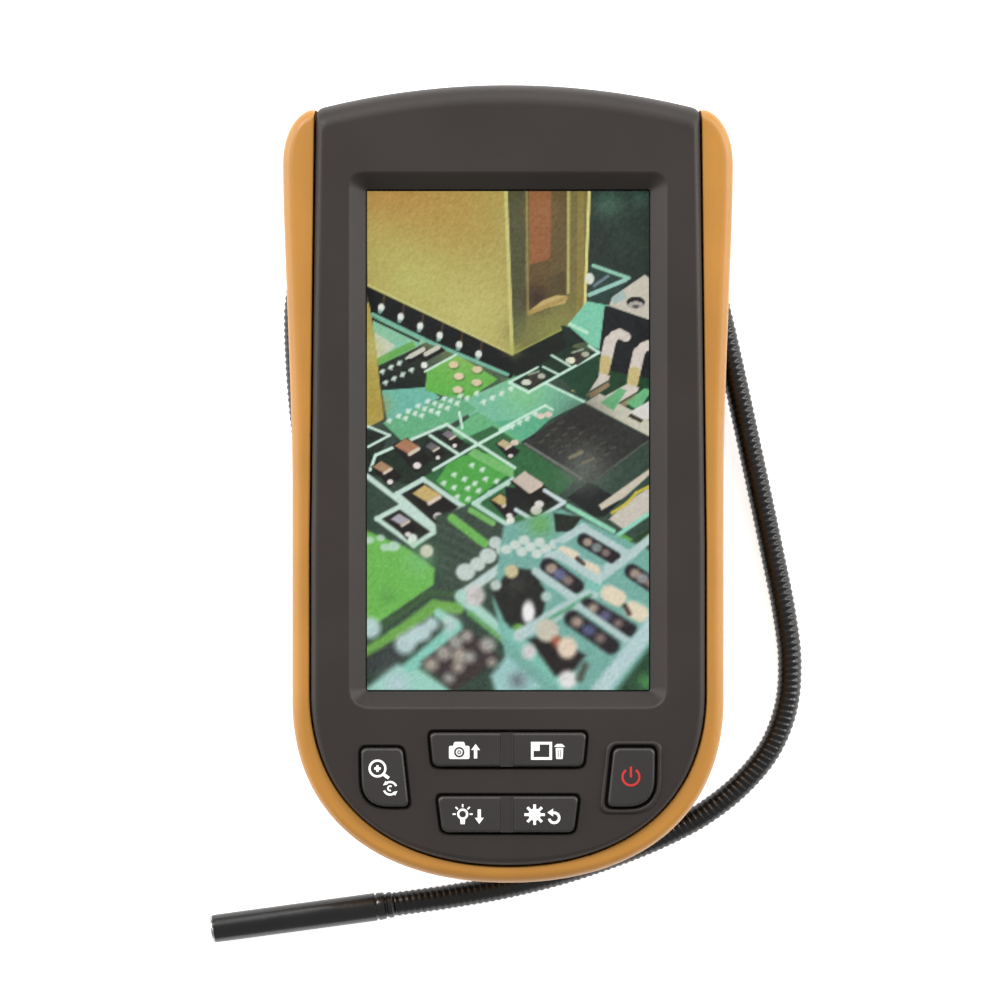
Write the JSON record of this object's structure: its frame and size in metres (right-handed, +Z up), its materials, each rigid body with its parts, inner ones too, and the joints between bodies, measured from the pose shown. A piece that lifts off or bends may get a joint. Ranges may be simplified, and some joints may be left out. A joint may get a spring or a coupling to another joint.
{
  "type": "inspection camera",
  "caption": "Hand-held screen unit with a side bumper and keys, lying on its back, with a gooseneck camera probe wound round a hub behind it and led out past its lower end.",
  "frame": {"origin": "on the surface that the camera lies on, under the middle of the screen unit's outline (the probe and its cable not counted)", "axes": "+Z up, out of the screen; +Y towards the arched top end; +X to the user's right when the screen is read"},
  "size_m": [0.116, 0.1658, 0.035],
  "materials": {
    "housing_plastic": "fine spark-eroded satin texture, warm dark grey",
    "bumper_plastic": "smooth satin amber over-moulding",
    "key_plastic": null,
    "clear_window": "polished clear acrylic",
    "screen_glass": "lit colour picture behind a black border",
    "seal_rubber": "matt black rubber",
    "foot_rubber": "matt black rubber pad",
    "sheet_steel": "stamped tinned steel",
    "cell_steel": "polished nickel",
    "screw_steel": "zinc plated",
    "board_laminate": "green solder mask",
    "chip_plastic": "moulded black epoxy",
    "ribbon_film": "amber polyimide film",
    "connector_plastic": "natural nylon",
    "contact_brass": "plated spring brass",
    "battery_wrap": "blue shrink wrap",
    "gooseneck": "glossy black-brown ribbed sheath over a wire coil",
    "head_metal": "gloss black coated metal tube",
    "led_ceramic": "white board with light sources"
  },
  "bodies": {
    "screen_unit": {"rear_housing": "housing_plastic", "front_housing": "housing_plastic", "bumper": "bumper_plastic", "screen_window": "clear_window", "screen_gasket": "seal_rubber", "lcd_panel": "screen_glass", "lcd_tray": "sheet_steel", "key_board": "board_laminate", "keypad_mat": "seal_rubber", "main_board": "board_laminate", "shield_can": "sheet_steel", "memory_chip": "chip_plastic", "power_coil": "chip_plastic", "clock_cell": "cell_steel", "screen_ribbon": "ribbon_film", "probe_plug": "connector_plastic", "usb_socket": "sheet_steel", "card_socket": "sheet_steel", "memory_card": "chip_plastic", "battery_pack": "battery_wrap", "battery_spring": "contact_brass", "battery_door": "housing_plastic", "wrap_plate": "housing_plastic", "probe_gland": "seal_rubber", "probe_coil": "gooseneck", "probe_cable": "gooseneck", "head_collar": "head_metal", "head_sleeve": "head_metal", "head_window": "clear_window", "led_ring": "led_ceramic", "lens_barrel": "chip_plastic", "sensor_module": "board_laminate", "key_switch_1": "cell_steel", "key_switch_2": "cell_steel", "key_switch_3": "cell_steel", "key_switch_4": "cell_steel", "key_switch_5": "cell_steel", "key_switch_6": "cell_steel", "board_screw_1": "screw_steel", "housing_screw_1": "screw_steel", "wrap_screw_1": "screw_steel", "foot_1": "foot_rubber", "board_screw_2": "screw_steel", "housing_screw_2": "screw_steel", "wrap_screw_2": "screw_steel", "foot_2": "foot_rubber", "board_screw_3": "screw_steel", "housing_screw_3": "screw_steel", "wrap_screw_3": "screw_steel", "foot_3": "foot_rubber", "board_screw_4": "screw_steel", "housing_screw_4": "screw_steel", "wrap_screw_4": "screw_steel", "foot_4": "foot_rubber"},
    "zoom_key": {"zoom_key": "key_plastic"},
    "power_key": {"power_key": "key_plastic"},
    "upper_rocker": {"upper_rocker": "key_plastic"},
    "lower_rocker": {"lower_rocker": "key_plastic"},
    "port_cover": {"port_cover": "seal_rubber"}
  },
  "joints": [
    {"name": "zoom_key_press", "type": "slide", "parent": "screen_unit", "child": "zoom_key", "axis": [0, 0, -1], "range_m": [0, 0.0008], "stiffness_N_per_m": 1500},
    {"name": "power_key_press", "type": "slide", "parent": "screen_unit", "child": "power_key", "axis": [0, 0, -1], "range_m": [0, 0.0008], "stiffness_N_per_m": 1500},
    {"name": "upper_rocker_tilt", "type": "hinge", "parent": "screen_unit", "child": "upper_rocker", "pos_m": [0, -0.05045, 0.0315], "axis": [0, 1, 0], "range_deg": [-3.5, 3.5], "stiffness_Nm_per_rad": 0.25},
    {"name": "lower_rocker_tilt", "type": "hinge", "parent": "screen_unit", "child": "lower_rocker", "pos_m": [0, -0.0627, 0.0315], "axis": [0, 1, 0], "range_deg": [-3.5, 3.5], "stiffness_Nm_per_rad": 0.25},
    {"name": "port_cover_swing", "type": "hinge", "parent": "screen_unit", "child": "port_cover", "pos_m": [0, 0.0757, 0.0111], "axis": [-1, 0, 0], "range_deg": [0, 100]}
  ]
}
